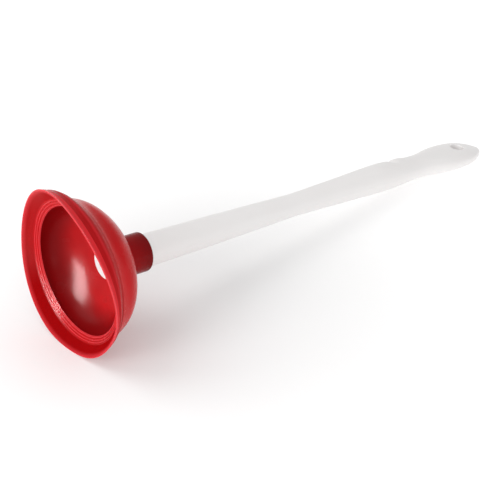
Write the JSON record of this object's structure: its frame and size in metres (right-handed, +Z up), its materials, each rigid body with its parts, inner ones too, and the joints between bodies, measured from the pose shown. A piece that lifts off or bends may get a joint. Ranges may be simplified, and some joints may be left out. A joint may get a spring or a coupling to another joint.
{
  "type": "toilet plunger",
  "caption": "Toilet plunger: a soft flared cup that seals over a drain, on a hollow plastic handle with a flat grip end and a hanging hole.",
  "frame": {"origin": "on the floor under the middle of the plunger as it lies on the lip's edge and the end of its grip", "axes": "+X along the floor from the cup to the grip's tip, +Z up, +Y across the flat of the grip. The plunger's own axis dips by 7.86 degrees from the cup to the tip, in the XZ plane."},
  "size_m": [0.502, 0.1416, 0.1403],
  "materials": {
    "cup_rubber": "gloss",
    "handle_plastic": "satin"
  },
  "bodies": {
    "cup": {"cup_bell": "cup_rubber"},
    "neck": {"cup_neck": "cup_rubber"},
    "grip": {"handle": "handle_plastic", "handle_plug": "handle_plastic"}
  },
  "joints": [
    {"name": "plunge", "type": "slide", "parent": "cup", "child": "neck", "axis": [-0.9906, 0, 0.1368], "range_m": [0, 0.024], "stiffness_N_per_m": 2500, "deforming": ["cup_bell"]},
    {"name": "handle_turn", "type": "hinge", "parent": "neck", "child": "grip", "pos_m": [-0.18187, 0, 0.06193], "axis": [0.9906, 0, -0.1368], "continuous": true}
  ]
}
